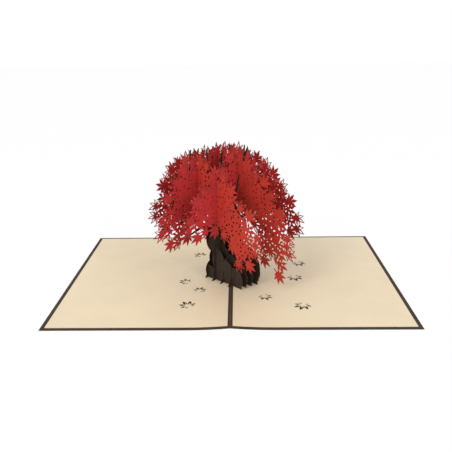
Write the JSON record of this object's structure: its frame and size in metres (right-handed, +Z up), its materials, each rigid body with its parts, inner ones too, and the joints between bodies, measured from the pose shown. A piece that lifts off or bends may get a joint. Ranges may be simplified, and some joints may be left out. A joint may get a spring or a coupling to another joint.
{
  "type": "pop up card",
  "caption": "Greeting card that opens flat and raises a slotted paper maple tree, with leaf shapes cut in its pale liners and dark cover.",
  "frame": {"origin": "centre of the open card at table level, on the spine under its raised fold", "axes": "+X across the open card from the left panel to the right one, +Y along the spine away from the reader, +Z up"},
  "size_m": [0.296, 0.21, 0.1272],
  "materials": {
    "cover_board": "dark brown textured card stock",
    "liner_paper": "cream pearl paper",
    "bark_paper": "dark brown paper, laser cut",
    "leaf_paper_crimson": "crimson paper, laser cut",
    "leaf_paper_scarlet": "scarlet paper, laser cut"
  },
  "bodies": {
    "root": {"cover": "cover_board", "liner_left": "liner_paper", "liner_right": "liner_paper", "trunk_left_1": "bark_paper", "trunk_left_2": "bark_paper", "trunk_left_3": "bark_paper", "trunk_left_4": "bark_paper", "bough_left": "bark_paper", "trunk_right_1": "bark_paper", "trunk_right_2": "bark_paper", "trunk_right_3": "bark_paper", "trunk_right_4": "bark_paper", "trunk_right_5": "bark_paper", "trunk_right_6": "bark_paper", "trunk_right_7": "bark_paper", "crown_left_1": "leaf_paper_crimson", "crown_left_2": "leaf_paper_crimson", "crown_left_3": "leaf_paper_crimson", "crown_right_1": "leaf_paper_scarlet", "crown_right_2": "leaf_paper_scarlet", "crown_right_3": "leaf_paper_scarlet"}
  },
  "joints": []
}
